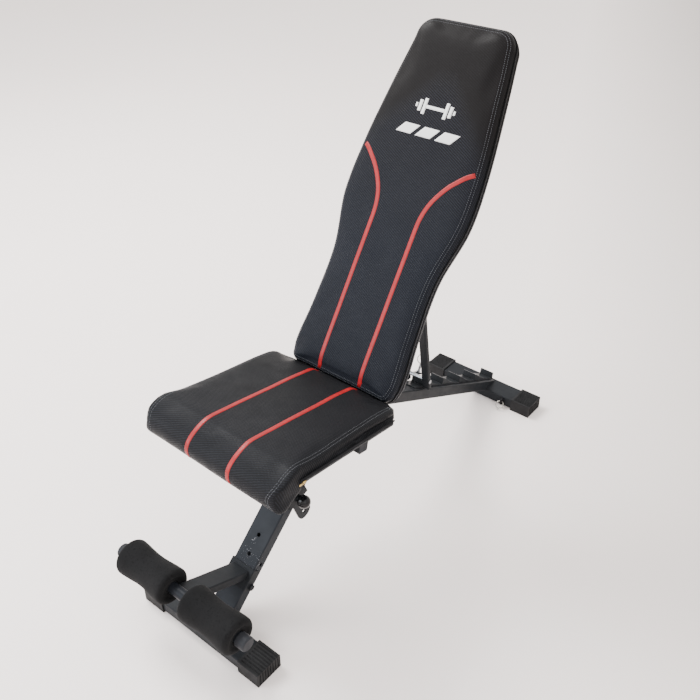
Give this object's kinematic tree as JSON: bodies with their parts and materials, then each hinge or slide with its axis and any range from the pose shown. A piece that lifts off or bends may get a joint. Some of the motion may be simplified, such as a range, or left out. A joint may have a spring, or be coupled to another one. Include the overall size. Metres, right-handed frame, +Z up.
{
  "type": "adjustable weight bench",
  "caption": "Weight bench with a tilting seat and a reclining hourglass back rest on an inverted-V frame, with a hooked ladder, a forked prop and foam foot rollers.",
  "frame": {"origin": "on the floor, under the centre of the bench's bounding box", "axes": "+Z up, +Y from the foot rollers towards the ladder's rear crossbar, +X to the side with the pull pin"},
  "size_m": [0.3734, 1.2276, 1.098],
  "materials": {
    "frame_paint": "satin charcoal powder coat",
    "ladder_paint": "satin charcoal powder coat",
    "roller_bar_paint": "satin grey paint",
    "strut_steel": "satin charcoal powder coat",
    "cap_rubber": "matte moulded, ribbed",
    "plug_plastic": "matte moulded",
    "bolt_zinc": "zinc plated",
    "spring_steel": "drawn wire",
    "ring_steel": "nickel plated",
    "lug_black": "black paint",
    "roller_foam": "matte closed-cell foam",
    "seat_vinyl": "black synthetic leather, woven grain",
    "back_vinyl": "black synthetic leather, woven grain",
    "board_wood": "plywood, stained dark",
    "zip_tape": "woven tape with moulded teeth",
    "zip_brass": "polished",
    "knob_gloss": "gloss phenolic"
  },
  "bodies": {
    "frame": {"front_crossbar": "frame_paint", "rear_crossbar": "frame_paint", "front_cap_left": "cap_rubber", "front_cap_right": "cap_rubber", "rear_cap_left": "cap_rubber", "rear_cap_right": "cap_rubber", "front_leg": "frame_paint", "main_beam": "frame_paint", "hinge_barrel": "frame_paint", "hinge_plate_left": "frame_paint", "hinge_plate_right": "frame_paint", "seat_hinge_bolt": "bolt_zinc", "back_hinge_bolt": "bolt_zinc", "hinge_nuts": "bolt_zinc", "seat_spacers": "bolt_zinc", "ladder": "ladder_paint", "roller_bar": "roller_bar_paint", "bar_caps": "plug_plastic", "foot_arm": "frame_paint", "arm_saddle": "frame_paint", "arm_bolt": "bolt_zinc", "arm_nut": "bolt_zinc", "pin_keeper": "frame_paint", "pin_barrel": "frame_paint", "pin_spring": "spring_steel", "band_lugs": "lug_black"},
    "roller_left": {"roller_foam_left": "roller_foam"},
    "roller_right": {"roller_foam_right": "roller_foam"},
    "seat": {"seat_rail_left": "frame_paint", "seat_rail_right": "frame_paint", "seat_outriggers": "frame_paint", "outrigger_plugs": "plug_plastic", "seat_tie": "frame_paint", "seat_board": "board_wood", "seat_pad": "seat_vinyl", "seat_zip": "zip_tape", "strut_pin": "bolt_zinc"},
    "zip_slider": {"zip_slider": "zip_brass"},
    "seat_strut": {"seat_strut": "strut_steel"},
    "pull_pin": {"pull_pin": "bolt_zinc", "ball_knob": "knob_gloss"},
    "back_rest": {"back_board": "board_wood", "back_pad": "back_vinyl", "back_straps": "frame_paint", "back_screws": "bolt_zinc", "back_spine": "frame_paint", "spine_plug": "plug_plastic", "back_lug_left": "frame_paint", "back_lug_right": "frame_paint", "back_sleeve": "frame_paint", "prop_bolt": "bolt_zinc", "prop_nut": "bolt_zinc"},
    "prop": {"prop_leg_left": "frame_paint", "prop_leg_right": "frame_paint", "prop_rod": "bolt_zinc", "prop_tab": "frame_paint"},
    "lock_pin": {"lock_pin": "bolt_zinc"},
    "lock_ring": {"lock_ring": "ring_steel"},
    "band_ring_left": {"band_ring_left": "ring_steel"},
    "band_ring_right": {"band_ring_right": "ring_steel"}
  },
  "joints": [
    {"name": "seat_tilt", "type": "hinge", "parent": "frame", "child": "seat", "pos_m": [0, -0.1038, 0.3808], "axis": [1, 0, 0], "range_deg": [-16, 10.55]},
    {"name": "strut_swing", "type": "hinge", "parent": "seat", "child": "seat_strut", "pos_m": [0.034, -0.34262, 0.42568], "axis": [1, 0, 0], "range_deg": [-4.2, 6.4]},
    {"name": "pin_pull", "type": "slide", "parent": "frame", "child": "pull_pin", "axis": [1, 0, 0], "range_m": [0, 0.006], "stiffness_N_per_m": 600, "springref_m": -0.004, "deforming": ["pin_spring"]},
    {"name": "back_recline", "type": "hinge", "parent": "frame", "child": "back_rest", "pos_m": [0, -0.053, 0.39], "axis": [1, 0, 0], "range_deg": [-56.8, 0]},
    {"name": "prop_swing", "type": "hinge", "parent": "back_rest", "child": "prop", "pos_m": [0, 0.15524, 0.6579], "axis": [1, 0, 0], "range_deg": [0, 93.4]},
    {"name": "lock_pin_pull", "type": "slide", "parent": "prop", "child": "lock_pin", "axis": [0, 0.4573, 0.8893], "range_m": [0, 0.05]},
    {"name": "lock_ring_swing", "type": "hinge", "parent": "lock_pin", "child": "lock_ring", "pos_m": [-0.013, 0.27631, 0.29051], "axis": [0.848, 0.4713, -0.2423], "range_deg": [-120, 0]},
    {"name": "roller_left_spin", "type": "hinge", "parent": "frame", "child": "roller_left", "pos_m": [-0.0935, -0.5738, 0.1758], "axis": [1, 0, 0], "continuous": true},
    {"name": "roller_right_spin", "type": "hinge", "parent": "frame", "child": "roller_right", "pos_m": [0.0935, -0.5738, 0.1758], "axis": [1, 0, 0], "continuous": true},
    {"name": "zip_slide", "type": "slide", "parent": "seat", "child": "zip_slider", "axis": [-0.0251, 0.9828, -0.183], "range_m": [0, 0.27]},
    {"name": "band_ring_left_swing", "type": "hinge", "parent": "frame", "child": "band_ring_left", "pos_m": [-0.088, 0.5423, 0.02], "axis": [1, 0, 0], "range_deg": [-110, 20]},
    {"name": "band_ring_right_swing", "type": "hinge", "parent": "frame", "child": "band_ring_right", "pos_m": [0.088, 0.5423, 0.02], "axis": [1, 0, 0], "range_deg": [-110, 20]}
  ],
  "couplings": [
    {"joint": "strut_swing", "follows": "seat_tilt", "ratio": -0.37},
    {"joint": "prop_swing", "follows": "back_recline", "ratio": -1.64}
  ]
}
